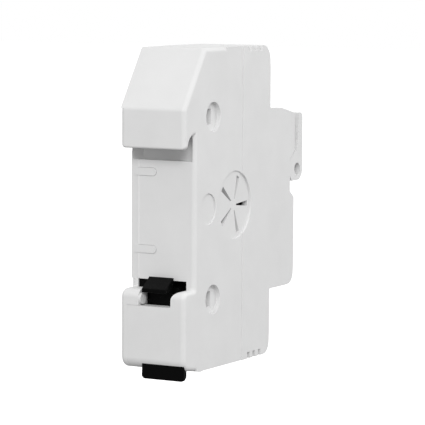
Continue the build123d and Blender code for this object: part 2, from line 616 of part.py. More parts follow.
def contact_upper():
    """Copper strip: jaw with flared lips, back web, step over the partition, terminal tongue."""
    arm_in = FUSE_RADIUS + JAW_GAP
    arm_out = arm_in + STRIP
    tip_y = fuse_y - JAW_PAST_AXIS
    jaw = Part()
    for side in (-1, 1):
        points = [
            (side * arm_in, jaw_web_y), (side * arm_in, tip_y + JAW_LIP),
            (side * (arm_in + JAW_FLARE), tip_y), (side * (arm_out + JAW_FLARE - 0.1), tip_y),
            (side * arm_out, tip_y + JAW_LIP), (side * arm_out, jaw_web_y),
        ]
        arm = make_face(Polyline(*points, close=True))
        jaw += extrude(Pos(0, 0, jaw_low_z) * arm, amount=JAW_TALL)
    jaw += block(-arm_out, arm_out, jaw_web_y, jaw_web_y + STRIP, jaw_low_z, jaw_top_z)
    step_z = front_z + SEAT_CLEAR
    half = STRIP_WIDE / 2
    riser = block(-half, half, jaw_web_y, jaw_web_y + STRIP, jaw_top_z, step_z + STRIP)
    step = block(-half, half, jaw_web_y, tongue_back_y, step_z, step_z + STRIP)
    rise = block(-half, half, tongue_front_y, tongue_back_y, step_z, terminal_z + CAGE_TALL / 2)
    return one(jaw + riser + step + rise)


def jaw_spring_upper():
    """Spring-steel clip that grips the jaw from outside."""
    arm_in = FUSE_RADIUS + JAW_GAP + STRIP + CLIP_SLIP
    web_y = jaw_web_y + STRIP + SEAT_CLEAR
    tip_y = fuse_y - CLIP_REACH
    low_z = (jaw_low_z + jaw_top_z - CLIP_TALL) / 2
    outer = block(-arm_in - CLIP, arm_in + CLIP, tip_y, web_y + CLIP, low_z, low_z + CLIP_TALL)
    inner = block(-arm_in, arm_in, tip_y - CUT_PAST, web_y,
                  low_z - CUT_PAST, low_z + CLIP_TALL + CUT_PAST)
    return one(outer - inner)


def terminal_cage_upper():
    """Steel box clamp with the screw's hole in its front wall."""
    outer_x = CAGE_ROOM + CAGE_SIDE
    z0, z1 = terminal_z - CAGE_TALL / 2, terminal_z + CAGE_TALL / 2
    cage = block(-outer_x, outer_x, cage_front_y, cage_back_y, z0, z1)
    cage -= block(-CAGE_ROOM, CAGE_ROOM, cage_front_y + CAGE, cage_back_y - CAGE,
                  z0 - CUT_PAST, z1 + CUT_PAST)
    cage -= rod_y(0, terminal_z, SCREW_RADIUS + THREAD_CLEAR,
                  cage_front_y - CUT_PAST, cage_front_y + CAGE + CUT_PAST)
    corners = [e for e in cage.edges().filter_by(Axis.Z) if abs(e.center().X) > CAGE_ROOM + 0.1]
    return one(fillet(corners, 0.5))


def clamp_plate_upper():
    """Pressure plate between the screw's tip and the wire."""
    half = CAGE_ROOM - PLATE_GAP
    tall = CAGE_TALL / 2 - PLATE_GAP
    plate = block(-half, half, plate_front_y, plate_back_y, terminal_z - tall, terminal_z + tall)
    return one(fillet(plate.edges().filter_by(Axis.X).sort_by(Axis.Y)[-2:], PLATE / 3))


def terminal_screw_upper():
    """Clamping screw with a cross-recessed head."""
    shank = rod_y(0, terminal_z, SCREW_RADIUS, head_back_y, plate_front_y - TIP_GAP)
    head_front_y = head_back_y - HEAD_THICK
    head = rod_y(0, terminal_z, HEAD_RADIUS, head_front_y, head_back_y)
    head = chamfer(head.edges().sort_by(Axis.Y)[:1], HEAD_THICK / 5)
    slot_long = HEAD_RADIUS * 1.3
    for wide, tall in ((slot_long, HEAD_THICK / 2), (HEAD_THICK / 2, slot_long)):
        head -= block(-wide / 2, wide / 2, head_front_y - CUT_PAST, head_front_y + HEAD_THICK * 0.6,
                      terminal_z - tall / 2, terminal_z + tall / 2)
    return one(shank + head)


pieces = {
    "housing_body": housing_body(),
    "housing_cover": housing_cover(),
    "rail_slider": rail_slider(),
    "slider_spring": slider_spring(),
    "fuse_carrier": fuse_carrier(),
    "fuse_tube": fuse_tube(),
}
cap = one(fuse_cap())
pieces["fuse_cap_upper"] = cap
pieces["fuse_cap_lower"] = one(Pos(0, 0, -2 * FUSE_DROP) * flipped(cap))
makers = {
    "contact": contact_upper,
    "jaw_spring": jaw_spring_upper,
    "terminal_cage": terminal_cage_upper,
    "clamp_plate": clamp_plate_upper,
    "terminal_screw": terminal_screw_upper,
}
for name, make in makers.items():
    upper = make()
    pieces[name + "_upper"] = upper
    pieces[name + "_lower"] = one(flipped(upper))

os.makedirs("parts", exist_ok=True)
for name, solid in pieces.items():
    export_step(solid, os.path.join("parts", name + ".step"))
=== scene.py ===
import bpy
import bmesh
import math
from mathutils import Euler, Matrix, Vector


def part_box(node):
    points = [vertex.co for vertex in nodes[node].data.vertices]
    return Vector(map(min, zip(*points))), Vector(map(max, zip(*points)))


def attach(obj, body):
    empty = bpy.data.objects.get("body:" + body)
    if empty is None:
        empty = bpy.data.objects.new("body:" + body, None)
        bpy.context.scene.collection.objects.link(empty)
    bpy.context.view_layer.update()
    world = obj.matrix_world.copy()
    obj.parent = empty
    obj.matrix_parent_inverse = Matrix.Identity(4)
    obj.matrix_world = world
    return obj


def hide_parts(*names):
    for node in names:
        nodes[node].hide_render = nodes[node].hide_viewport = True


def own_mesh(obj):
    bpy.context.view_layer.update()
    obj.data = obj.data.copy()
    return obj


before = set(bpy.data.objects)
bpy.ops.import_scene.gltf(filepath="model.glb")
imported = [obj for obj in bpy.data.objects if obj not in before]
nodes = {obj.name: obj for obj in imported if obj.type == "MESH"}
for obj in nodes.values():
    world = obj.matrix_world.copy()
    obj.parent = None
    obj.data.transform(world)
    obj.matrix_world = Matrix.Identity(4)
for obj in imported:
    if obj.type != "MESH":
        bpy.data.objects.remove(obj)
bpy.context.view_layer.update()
scene = bpy.context.scene
MM = 0.001

# Housing shell: the main moulding of the device, one side wall with the rail hook,
# hood, rail seat, lower block and front cheeks, injection moulded in a pale grey
# polyamide. Its outer edges have the small radius that the tool leaves.
TOOL_RADIUS = 0.15 * MM
GRAIN_HEIGHT = 0.02 * MM
GROOVE_FLOOR = -2.35 * MM    # the rail groove under the hook, with half a millimetre of wall behind it
SEAM_STRIP, SEAM_RISE = 0.3 * MM, 0.19 * MM    # width and height of the seat's lip along the seam
LIP_LOW, LIP_TOP = -16.6 * MM, 11.6 * MM    # that lip's reach in Z


def linear(hex_colour):
    """An sRGB hex colour as linear RGBA."""
    parts = [int(hex_colour[i:i + 2], 16) / 255 for i in (1, 3, 5)]
    return [c / 12.92 if c <= 0.04045 else ((c + 0.055) / 1.055) ** 2.4 for c in parts] + [1.0]


def add(tree, kind, fields=None, values=None, links=None, stops=()):
    """Adds a node with its settings, links and colour stops; a linked node gives its first output."""
    made = tree.nodes.new(kind)
    for name, value in (fields or {}).items():
        setattr(made, name, value)
    for name, value in (values or {}).items():
        made.inputs[name].default_value = value
    for name, sources in (links or {}).items():
        for source in sources if isinstance(sources, list) else [sources]:
            if isinstance(source, bpy.types.Node):
                source = source.outputs[0]
            tree.links.new(source, made.inputs[name])
    for place, (level, colour) in enumerate(stops):
        made.color_ramp.elements[place].position = level
        made.color_ramp.elements[place].color = linear(colour)
    return made


def new_material(name):
    """An empty node material and its tree."""
    made = bpy.data.materials.new(name)
    made.use_nodes = True
    made.node_tree.nodes.clear()
    return made, made.node_tree


# Moulded polyamide: a satin skin with the fine grain of a spark-eroded tool.
# The grain is really about 0.06 mm; it is drawn at 0.25 mm so that it shows.
# The flow of the melt leaves the grey very slightly cloudy over some 9 mm.
pale_polyamide, tree = new_material("pale_grey_moulded_polyamide")
place = add(tree, "ShaderNodeTexCoord").outputs["Object"]
cloud = add(tree, "ShaderNodeTexNoise", values={"Scale": 1 / (9 * MM), "Detail": 3.0, "Roughness": 0.55},
            links={"Vector": place})
grain = add(tree, "ShaderNodeTexNoise", values={"Scale": 1 / (0.25 * MM), "Detail": 2.0},
            links={"Vector": place})
tone = add(tree, "ShaderNodeValToRGB", links={"Fac": cloud}, stops=((0.3, "#D9D9D9"), (0.7, "#DDDDDD")))
gloss = add(tree, "ShaderNodeMapRange", values={"To Min": 0.42, "To Max": 0.54}, links={"Value": grain})
relief = add(tree, "ShaderNodeBump", values={"Strength": 0.12, "Distance": GRAIN_HEIGHT},
             links={"Height": grain})
skin = add(tree, "ShaderNodeBsdfPrincipled", values={"IOR": 1.53, "Specular IOR Level": 0.25},
           links={"Base Color": tone, "Roughness": gloss, "Normal": relief})
add(tree, "ShaderNodeOutputMaterial", links={"Surface": skin})

SAME_SPOT = 0.002 * MM            # corners nearer than this are one
HAIR = 0.02 * MM                  # less than this off a plane counts as on it
FAR = 1.0                         # past the whole device
REARWARD = 0.99                   # share of +Y in the normal of a face that looks to the rail
FLAT_TURN = math.radians(0.5)     # faces that meet at less are one flat
EDGE_TURN = math.radians(40)      # outer edges that turn more are rounded
SMOOTH_TURN = math.radians(32)    # edges that turn less are shaded smooth
EDGE_ROOM = 2.4                   # an edge is rounded where those beside it are longer than this many radii


def made_plain(piece):
    """Turns what a piece's modifiers give into its plain mesh."""
    drawn = piece.evaluated_get(bpy.context.evaluated_depsgraph_get())
    mesh = bpy.data.meshes.new_from_object(drawn)
    piece.modifiers.clear()
    piece.data = mesh


def within(point, box):
    """True where a point lies inside a box of lowest and highest corner."""
    return all(low < along < high for low, along, high in zip(box[0], point, box[1]))


def moulded(node_name, body, material, edge_round, sharp=(), shaped=None):
    """A copy of a CAD node, shaped further where asked, with its edges rounded outside the sharp boxes."""
    bm = bmesh.new()
    bm.from_mesh(nodes[node_name].data)
    bmesh.ops.remove_doubles(bm, verts=bm.verts, dist=SAME_SPOT)
    bmesh.ops.dissolve_limit(bm, angle_limit=FLAT_TURN, verts=bm.verts, edges=bm.edges)
    if shaped:
        shaped(bm)
    free = []
    for edge in bm.edges:
        middle = (edge.verts[0].co + edge.verts[1].co) / 2
        if edge.calc_face_angle_signed() > EDGE_TURN and not any(within(middle, box) for box in sharp):
            beside = [e for corner in edge.verts for e in corner.link_edges if e is not edge]
            if min(e.calc_length() for e in beside) > EDGE_ROOM * edge_round:
                free.append(edge)
    bmesh.ops.bevel(bm, geom=free, offset=edge_round, offset_type="OFFSET", segments=2, profile=0.5,
                    affect="EDGES", clamp_overlap=False)
    for face in bm.faces:
        face.smooth = True
    for edge in bm.edges:
        edge.smooth = edge.calc_face_angle(math.pi) < SMOOTH_TURN
    mesh = bpy.data.meshes.new("moulded_" + node_name)
    bm.to_mesh(mesh)
    bm.free()
    mesh.materials.append(material)
    piece = bpy.data.objects.new("moulded_" + node_name, mesh)
    scene.collection.objects.link(piece)
    evened = piece.modifiers.new("even_flats", "WEIGHTED_NORMAL")
    evened.keep_sharp = True
    made_plain(piece)
    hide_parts(node_name)
    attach(piece, body)


def set_depth(bm, *boxes):
    """Moves the corners inside a box to its place in Y; the first box that holds a corner counts."""
    for corner in bm.verts:
        depths = [depth for box, depth in boxes if within(corner.co, box)]
        if depths:
            corner.co.y = depths[0]


seam_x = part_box("housing_body")[1][0]
side_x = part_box("housing_cover")[1][0]
cut_low, cut_high = (-0.7 * MM, 11 * MM), (-0.6 * MM, 18 * MM)    # round the CAD groove's floor, in Y and Z
groove = ((-side_x, *cut_low), (side_x, *cut_high))
seam = ((seam_x - HAIR, -FAR, -FAR), (seam_x + HAIR, FAR, FAR))
seat_seam = ((seam_x - HAIR, -HAIR, LIP_LOW), (seam_x + HAIR, HAIR, LIP_TOP))
tongue_pockets = ((1 * MM, -0.1 * MM, -11 * MM), (seam_x, 0.1 * MM, 11 * MM))    # their rims in the seat


def shape_shell(bm):
    """Deepens the rail groove and lifts the rail seat's edge along the seam."""
    set_depth(bm, (groove, GROOVE_FLOOR))
    seat = [f for f in bm.faces if f.normal.y > REARWARD and abs(f.calc_center_median().y) < HAIR]
    around = {part for f in seat for part in (*f.edges, *f.verts)}
    bmesh.ops.bisect_plane(bm, geom=[*seat, *around], plane_co=(seam_x - SEAM_STRIP, 0, 0),
                           plane_no=(1, 0, 0))
    set_depth(bm, (seat_seam, SEAM_RISE))


moulded("housing_body", "housing", pale_polyamide, TOOL_RADIUS, (seam, tongue_pockets), shape_shell)

# Terminal cages and clamp plates: box clamps bent from steel strip and loose pressure
# plates, bright zinc plated, one set above and one below.
STEEL_EDGE = 0.12 * MM
zinc_plate, tree = new_material("zinc_plated_steel")
# Electroplated zinc is faintly clouded, over about 1.5 mm.
place = add(tree, "ShaderNodeTexCoord").outputs["Object"]
spangle = add(tree, "ShaderNodeTexNoise", values={"Scale": 1 / (1.5 * MM), "Detail": 4.0},
              links={"Vector": place})
tone = add(tree, "ShaderNodeValToRGB", links={"Fac": spangle}, stops=((0.2, "#B9BBBE"), (0.8, "#CFCFCB")))
gloss = add(tree, "ShaderNodeMapRange", values={"To Min": 0.28, "To Max": 0.45}, links={"Value": spangle})
skin = add(tree, "ShaderNodeBsdfPrincipled", values={"Metallic": 1.0},
           links={"Base Color": tone, "Roughness": gloss})
add(tree, "ShaderNodeOutputMaterial", links={"Surface": skin})
for side in ("upper", "lower"):
    moulded("terminal_cage_" + side, "housing", zinc_plate, STEEL_EDGE)
    moulded("clamp_plate_" + side, "clamp_" + side, zinc_plate, STEEL_EDGE)

# Terminal screws: turned steel with a rolled thread of 0.8 mm pitch and a pan head with
# a cross recess, zinc plated as the cages are. Each pushes its plate onto the wire.
HEAD_THICK, HEAD_EDGE = 1.6 * MM, 0.1 * MM
HEAD_CROWN = ((0.5, 0.0), (0.2, 0.08), (0.05, 0.22), (0.0, 0.45))    # mm in from the rim, mm from the face
CROSS_LONG, CROSS_WIDE, CROSS_DEEP = 4.4 * MM, 0.8 * MM, 0.95 * MM
SHANK_RADIUS, TIP_CONE = 2.45 * MM, 0.6 * MM
PITCH, THREAD_DEEP = 0.8 * MM, 0.45 * MM
NECK = 0.2 * MM    # plain shank under the head
SCREW_SIDES, ROWS_PER_TURN = 48, 6
CREASE = math.radians(38)    # edges of turned and wound pieces that turn more stay sharp
NUDGE = 0.01    # keeps a whole number from being rounded down to the one before


def size_inputs(tree, sizes):
    """Gives a node tree its named inputs and a geometry output."""
    for name, kind in sizes:
        tree.interface.new_socket(name, in_out="INPUT", socket_type="NodeSocket" + kind)
    tree.interface.new_socket("Geometry", in_out="OUTPUT", socket_type="NodeSocketGeometry")
    return add(tree, "NodeGroupInput").outputs


def round_axis(tree, radius, angle, height):
    """The place at a radius, an angle and a height about Z."""
    sides = {"Z": height}
    for axis, operation in (("X", "COSINE"), ("Y", "SINE")):
        share = add(tree, "ShaderNodeMath", {"operation": operation}, links={0: angle})
        sides[axis] = add(tree, "ShaderNodeMath", {"operation": "MULTIPLY"}, links={0: radius, 1: share})
    return add(tree, "ShaderNodeCombineXYZ", links=sides)


def finished(tree, shape, given):
    """Ends a tree: the shape tilted and put in its place, made real and given its finish."""
    placed = add(tree, "GeometryNodeTransform", links={
        "Geometry": shape, "Translation": given["Place"], "Rotation": given["Tilt"]})
    real = add(tree, "GeometryNodeRealizeInstances", links={"Geometry": placed})
    coated = add(tree, "GeometryNodeSetMaterial", links={"Geometry": real, "Material": given["Finish"]})
    add(tree, "NodeGroupOutput", links={"Geometry": coated})


def turned(tree, given):
    """Turns the profile, a line of points (radius, 0, length), round Z and cuts a thread into it."""
    rows = add(tree, "GeometryNodeAttributeDomainSize", links={"Geometry": given["Profile"]})
    columns = add(tree, "ShaderNodeMath", {"operation": "ADD"}, {1: 1}, {0: given["Sides"]})
    sheet = add(tree, "GeometryNodeMeshGrid", links={"Vertices X": columns, "Vertices Y": rows})
    # A grid's points run along Y first, so the index gives the profile's point and the column.
    index = add(tree, "GeometryNodeInputIndex")
    row = add(tree, "ShaderNodeMath", {"operation": "MODULO"}, links={0: index, 1: rows})
    nudged = add(tree, "ShaderNodeMath", {"operation": "ADD"}, {1: NUDGE}, {0: index})
    passed = add(tree, "ShaderNodeMath", {"operation": "DIVIDE"}, links={0: nudged, 1: rows})
    column = add(tree, "ShaderNodeMath", {"operation": "FLOOR"}, links={0: passed})
    turn = add(tree, "ShaderNodeMath", {"operation": "DIVIDE"}, links={0: column, 1: given["Sides"]})
    point = add(tree, "GeometryNodeSampleIndex", {"data_type": "FLOAT_VECTOR"}, links={
        "Geometry": given["Profile"], "Value": add(tree, "GeometryNodeInputPosition"), "Index": row})
    profile = add(tree, "ShaderNodeSeparateXYZ", links={"Vector": point}).outputs
    # The thread's flank falls and rises once a pitch, and its depth grows and fades over one pitch.
    pitches = add(tree, "ShaderNodeMath", {"operation": "DIVIDE"},
                  links={0: profile["Z"], 1: given["Pitch"]})
    phase = add(tree, "ShaderNodeMath", {"operation": "SUBTRACT"}, links={0: pitches, 1: turn})
    half_wave = add(tree, "ShaderNodeMath", {"operation": "PINGPONG"}, {1: 0.5}, {0: phase})
    wave = add(tree, "ShaderNodeMath", {"operation": "MULTIPLY"}, {1: 2.0}, {0: half_wave})
    full_from = add(tree, "ShaderNodeMath", {"operation": "ADD"},
                    links={0: given["Thread Start"], 1: given["Pitch"]})
    full_to = add(tree, "ShaderNodeMath", {"operation": "SUBTRACT"},
                  links={0: given["Thread End"], 1: given["Pitch"]})
    run_in = add(tree, "ShaderNodeMapRange", links={
        "Value": profile["Z"], "From Min": given["Thread Start"], "From Max": full_from})
    run_out = add(tree, "ShaderNodeMapRange", values={"To Min": 1.0, "To Max": 0.0}, links={
        "Value": profile["Z"], "From Min": full_to, "From Max": given["Thread End"]})
    share = add(tree, "ShaderNodeMath", {"operation": "MULTIPLY"}, links={0: run_in, 1: run_out})
    deep = add(tree, "ShaderNodeMath", {"operation": "MULTIPLY"}, links={0: share, 1: given["Thread Deep"]})
    cut = add(tree, "ShaderNodeMath", {"operation": "MULTIPLY"}, links={0: wave, 1: deep})
    radius = add(tree, "ShaderNodeMath", {"operation": "SUBTRACT"}, links={0: profile["X"], 1: cut})
    angle = add(tree, "ShaderNodeMath", {"operation": "MULTIPLY"}, {1: 2 * math.pi}, {0: turn})
    bent = add(tree, "GeometryNodeSetPosition", links={
        "Geometry": sheet, "Position": round_axis(tree, radius, angle, profile["Z"])})
    return add(tree, "GeometryNodeMergeByDistance", values={"Distance": SAME_SPOT}, links={"Geometry": bent})


TURNED_SIZES = (("Profile", "Geometry"), ("Sides", "Int"), ("Pitch", "Float"), ("Thread Deep", "Float"),
                ("Thread Start", "Float"), ("Thread End", "Float"), ("Place", "Vector"),
                ("Tilt", "Rotation"), ("Finish", "Material"))
screw_tree = bpy.data.node_groups.new("cross_head_screw", "GeometryNodeTree")
given = size_inputs(screw_tree, TURNED_SIZES + (("Cross Size", "Vector"), ("Cross Size Across", "Vector")))
arms = [add(screw_tree, "GeometryNodeMeshCube", links={"Size": given[name]})
        for name in ("Cross Size", "Cross Size Across")]
# The quick solver leaves one arm of the cross without a floor.
recessed = add(screw_tree, "GeometryNodeMeshBoolean", {"solver": "EXACT"},
               links={"Mesh 1": turned(screw_tree, given), "Mesh 2": arms})
finished(screw_tree, recessed, given)


def line_mesh(name, points):
    """A mesh of one open line through points (radius, length)."""
    mesh = bpy.data.meshes.new(name)
    mesh.from_pydata([(radius, 0.0, length) for radius, length in points],
                     [(i, i + 1) for i in range(len(points) - 1)], [])
    return mesh


def grown(name, tree, base, sizes, node_name, body):
    """The plain mesh piece that a node tree makes from a base mesh and its sizes."""
    piece = bpy.data.objects.new(name, base)
    scene.collection.objects.link(piece)
    maker = piece.modifiers.new(name, "NODES")
    maker.node_group = tree
    for socket in tree.interface.items_tree:
        if socket.in_out == "INPUT" and socket.name in sizes:
            maker[socket.identifier] = sizes[socket.name]
    made_plain(piece)
    bm = bmesh.new()
    bm.from_mesh(piece.data)
    bmesh.ops.recalc_face_normals(bm, faces=bm.faces)
    bm.to_mesh(piece.data)
    bm.free()
    piece.data.shade_smooth()
    piece.data.set_sharp_from_angle(angle=CREASE)
    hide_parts(node_name)
    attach(piece, body)
    return piece


for side in ("upper", "lower"):
    low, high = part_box("terminal_screw_" + side)
    long, head = high[1] - low[1], (high[0] - low[0]) / 2
    tip = long - TIP_CONE
    points = [(0, 0)] + [(head - inset * MM, back * MM) for inset, back in HEAD_CROWN]
    points += [(head, HEAD_THICK - HEAD_EDGE), (head - HEAD_EDGE, HEAD_THICK), (SHANK_RADIUS, HEAD_THICK)]
    steps = int((tip - HEAD_THICK) / PITCH * ROWS_PER_TURN)
    points += [(SHANK_RADIUS, HEAD_THICK + (tip - HEAD_THICK) * i / steps) for i in range(1, steps + 1)]
    points += [(SHANK_RADIUS - TIP_CONE, long), (0, long)]
    grown("threaded_screw_" + side, screw_tree, line_mesh("screw_profile_" + side, points), {
        "Sides": SCREW_SIDES, "Pitch": PITCH, "Thread Deep": THREAD_DEEP, "Thread Start": HEAD_THICK + NECK,
        "Thread End": tip + PITCH / 2, "Place": (0, low[1], (low[2] + high[2]) / 2),
        "Tilt": (-math.pi / 2, 0, 0), "Cross Size": (CROSS_LONG, CROSS_WIDE, 2 * CROSS_DEEP),
        "Cross Size Across": (CROSS_WIDE, CROSS_LONG, 2 * CROSS_DEEP), "Finish": zinc_plate,
    }, "terminal_screw_" + side, "screw_" + side)

# Contacts: copper strip, blanked and bent into a fuse jaw and a terminal tongue, one
# above and one below. Rolling leaves fine lines along the strip.
COPPER_EDGE = 0.08 * MM
rolled_copper, tree = new_material("rolled_copper_strip")
# The lines are really some 0.05 mm apart; they are drawn at 0.4 mm so that they show.
place = add(tree, "ShaderNodeTexCoord").outputs["Object"]
stretch = add(tree, "ShaderNodeMapping", values={"Scale": (1 / (0.4 * MM), 1 / (0.4 * MM), 1 / (8 * MM))},
              links={"Vector": place})
lines = add(tree, "ShaderNodeTexNoise", values={"Scale": 1.0, "Detail": 3.0}, links={"Vector": stretch})
tone = add(tree, "ShaderNodeValToRGB", links={"Fac": lines}, stops=((0.2, "#B8724F"), (0.8, "#DC9A78")))
gloss = add(tree, "ShaderNodeMapRange", values={"To Min": 0.25, "To Max": 0.42}, links={"Value": lines})
skin = add(tree, "ShaderNodeBsdfPrincipled", values={"Metallic": 1.0},
           links={"Base Color": tone, "Roughness": gloss})
add(tree, "ShaderNodeOutputMaterial", links={"Surface": skin})
for side in ("upper", "lower"):
    moulded("contact_" + side, "housing", rolled_copper, COPPER_EDGE)

# Jaw clips: tempered spring steel bands, blue-grey, bent round each jaw to keep it
# closed on the fuse cap.
CLIP_EDGE = 0.06 * MM
spring_steel, tree = new_material("tempered_spring_steel")
# The tempering colour drifts over about 2.5 mm.
place = add(tree, "ShaderNodeTexCoord").outputs["Object"]
temper = add(tree, "ShaderNodeTexNoise", values={"Scale": 1 / (2.5 * MM), "Detail": 2.0},
             links={"Vector": place})
tone = add(tree, "ShaderNodeValToRGB", links={"Fac": temper}, stops=((0.2, "#7F838A"), (0.8, "#9A9C9F")))
skin = add(tree, "ShaderNodeBsdfPrincipled", values={"Metallic": 1.0, "Roughness": 0.33},
           links={"Base Color": tone})
add(tree, "ShaderNodeOutputMaterial", links={"Surface": skin})
for side in ("upper", "lower"):
    moulded("jaw_spring_" + side, "housing", spring_steel, CLIP_EDGE)

# Slider spring: a coil of round spring wire with closed end turns. It stands on the
# floor of the slider's pocket and pushes the slider up.
COIL_TURNS, END_TURNS = 8.0, 1.0
WIRE_RADIUS = 0.24 * MM
END_PITCH = 2.1 * WIRE_RADIUS    # the end turns lie almost on each other
COIL_POINTS, WIRE_SIDES = 288, 10
coil_tree = bpy.data.node_groups.new("closed_end_coil", "GeometryNodeTree")
given = size_inputs(coil_tree, (("Turns", "Float"), ("End Share", "Float"), ("Coil Radius", "Float"),
                                ("Wire Radius", "Float"), ("End Rise", "Float"), ("Middle Rise", "Float"),
                                ("Place", "Vector"), ("Tilt", "Rotation"), ("Finish", "Material")))
straight = add(coil_tree, "GeometryNodeCurvePrimitiveLine")
stepped = add(coil_tree, "GeometryNodeResampleCurve", values={"Count": COIL_POINTS},
              links={"Curve": straight})
share = add(coil_tree, "GeometryNodeSplineParameter")
last_share = add(coil_tree, "ShaderNodeMath", {"operation": "SUBTRACT"}, {0: 1.0}, {1: given["End Share"]})
all_turns = add(coil_tree, "ShaderNodeMath", {"operation": "MULTIPLY"}, {1: 2 * math.pi},
                {0: given["Turns"]})
angle = add(coil_tree, "ShaderNodeMath", {"operation": "MULTIPLY"}, links={0: share, 1: all_turns})
first = add(coil_tree, "ShaderNodeMapRange", links={
    "Value": share, "From Max": given["End Share"], "To Max": given["End Rise"]})
middle = add(coil_tree, "ShaderNodeMapRange", links={
    "Value": share, "From Min": given["End Share"], "From Max": last_share, "To Max": given["Middle Rise"]})
last = add(coil_tree, "ShaderNodeMapRange", links={
    "Value": share, "From Min": last_share, "To Max": given["End Rise"]})
lower_rise = add(coil_tree, "ShaderNodeMath", {"operation": "ADD"}, links={0: first, 1: middle})
rise = add(coil_tree, "ShaderNodeMath", {"operation": "ADD"}, links={0: lower_rise, 1: last})
wound = add(coil_tree, "GeometryNodeSetPosition", links={
    "Geometry": stepped, "Position": round_axis(coil_tree, given["Coil Radius"], angle, rise)})
section = add(coil_tree, "GeometryNodeCurvePrimitiveCircle", values={"Resolution": WIRE_SIDES},
              links={"Radius": given["Wire Radius"]})
wire = add(coil_tree, "GeometryNodeCurveToMesh", values={"Fill Caps": True},
           links={"Curve": wound, "Profile Curve": section})
finished(coil_tree, wire, given)

low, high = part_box("slider_spring")
spring_long = high[2] - low[2]
end_rise = END_TURNS * END_PITCH
coil = grown("closed_end_spring", coil_tree, bpy.data.meshes.new("coil_base"), {
    "Turns": COIL_TURNS, "End Share": END_TURNS / COIL_TURNS, "Wire Radius": WIRE_RADIUS,
    "Coil Radius": (high[0] - low[0]) / 2 - WIRE_RADIUS, "End Rise": end_rise,
    "Middle Rise": spring_long - 2 * WIRE_RADIUS - 2 * end_rise, "Tilt": (0, 0, 0),
    "Place": ((low[0] + high[0]) / 2, (low[1] + high[1]) / 2, low[2] + WIRE_RADIUS), "Finish": spring_steel,
}, "slider_spring", "housing")
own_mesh(coil)

# Rail slider: a black polyamide slide with a ramped nose and a pull tab, moulded in
# one piece and pushed up against the rail by its spring. The tab's rear stands out
# under the housing's rounded lower edge, in steps that keep clear of it.
SLIDER_EDGE = 0.12 * MM
TAB_LEFT, TAB_LIFT = 2.85 * MM, 0.5 * MM    # its left edge, and the lower edge's rise from bar to first step
TAB_STEPS = [[size * MM for size in step] for step in (
    # depth, right edge, top
    (1.9, -7.4, -37.25),
    (3.4, -7.4, -36.96),
    (4.0, -8.4, -36.65),
    (4.45, -8.4, -36.24),
    (4.8, -8.4, -35.72),
)]
black_polyamide, tree = new_material("black_moulded_polyamide")
# The tool's grain, about 0.1 mm on the real one, is drawn at 0.3 mm so that it shows.
place = add(tree, "ShaderNodeTexCoord").outputs["Object"]
grain = add(tree, "ShaderNodeTexNoise", values={"Scale": 1 / (0.3 * MM), "Detail": 2.0},
            links={"Vector": place})
tone = add(tree, "ShaderNodeValToRGB", links={"Fac": grain}, stops=((0.2, "#040404"), (0.8, "#080808")))
gloss = add(tree, "ShaderNodeMapRange", values={"To Min": 0.28, "To Max": 0.4}, links={"Value": grain})
relief = add(tree, "ShaderNodeBump", values={"Strength": 0.1, "Distance": GRAIN_HEIGHT},
             links={"Height": grain})
skin = add(tree, "ShaderNodeBsdfPrincipled", values={"IOR": 1.53, "Specular IOR Level": 0.05},
           links={"Base Color": tone, "Roughness": gloss, "Normal": relief})
add(tree, "ShaderNodeOutputMaterial", links={"Surface": skin})


def bring_out_tab(bm):
    """Draws the tab's rear face out step by step."""
    cut_z = TAB_STEPS[0][2]
    bmesh.ops.bisect_plane(bm, geom=[*bm.verts, *bm.edges, *bm.faces], plane_co=(0, 0, cut_z),
                           plane_no=(0, 0, 1))
    tab = [f for f in bm.faces if f.normal.y > REARWARD and f.calc_center_median().z < cut_z]
    across = [v.co.x for f in tab for v in f.verts]
    right, left, lift = min(across), max(across), TAB_LIFT
    for depth, new_right, top in TAB_STEPS:
        drawn = bmesh.ops.extrude_face_region(bm, geom=tab)["geom"]
        bmesh.ops.delete(bm, geom=tab, context="FACES_ONLY")
        tab = [f for f in drawn if isinstance(f, bmesh.types.BMFace)]
        for corner in {v for f in tab for v in f.verts}:
            share = (corner.co.x - right) / (left - right)
            new_z = top if corner.co.z > cut_z - HAIR else corner.co.z + lift
            corner.co = (new_right + share * (TAB_LEFT - new_right), depth, new_z)
        right, left, lift = new_right, TAB_LEFT, 0.0


moulded("rail_slider", "slider", black_polyamide, SLIDER_EDGE, shaped=bring_out_tab)

# Fuse link: a white glazed ceramic tube between two pressed caps of nickel-plated
# copper, each held on by a rolled groove near its rim.
CAP_WALL, CAP_FLOOR = 0.4 * MM, 0.8 * MM
CAP_CROWN = ((0.55, 0.0), (0.28, 0.05), (0.09, 0.2), (0.0, 0.5))    # mm in from the side, mm from the end
RIM_WIDE, RIM_TALL, RIM_INNER = 0.1 * MM, 0.12 * MM, 0.08 * MM    # roundings of the cap's rim
ROLL_FROM_RIM, ROLL_HALF, ROLL_DEEP = 2.2 * MM, 0.45 * MM, 0.16 * MM
ROLL_ROWS = 4    # rows on each side of the groove's middle
TUBE_EDGE, SHOULDER_EDGE = 0.2 * MM, 0.12 * MM
FUSE_SIDES = 64
glazed_ceramic, tree = new_material("white_glazed_ceramic")
# Specks in the glaze, under a millimetre across.
place = add(tree, "ShaderNodeTexCoord").outputs["Object"]
speck = add(tree, "ShaderNodeTexNoise", values={"Scale": 1 / (0.8 * MM), "Detail": 5.0},
            links={"Vector": place})
tone = add(tree, "ShaderNodeValToRGB", links={"Fac": speck}, stops=((0.2, "#E6E3DB"), (0.8, "#F0EEE8")))
skin = add(tree, "ShaderNodeBsdfPrincipled", values={"IOR": 1.5, "Roughness": 0.22},
           links={"Base Color": tone})
add(tree, "ShaderNodeOutputMaterial", links={"Surface": skin})
bright_nickel, tree = new_material("nickel_plated_copper")
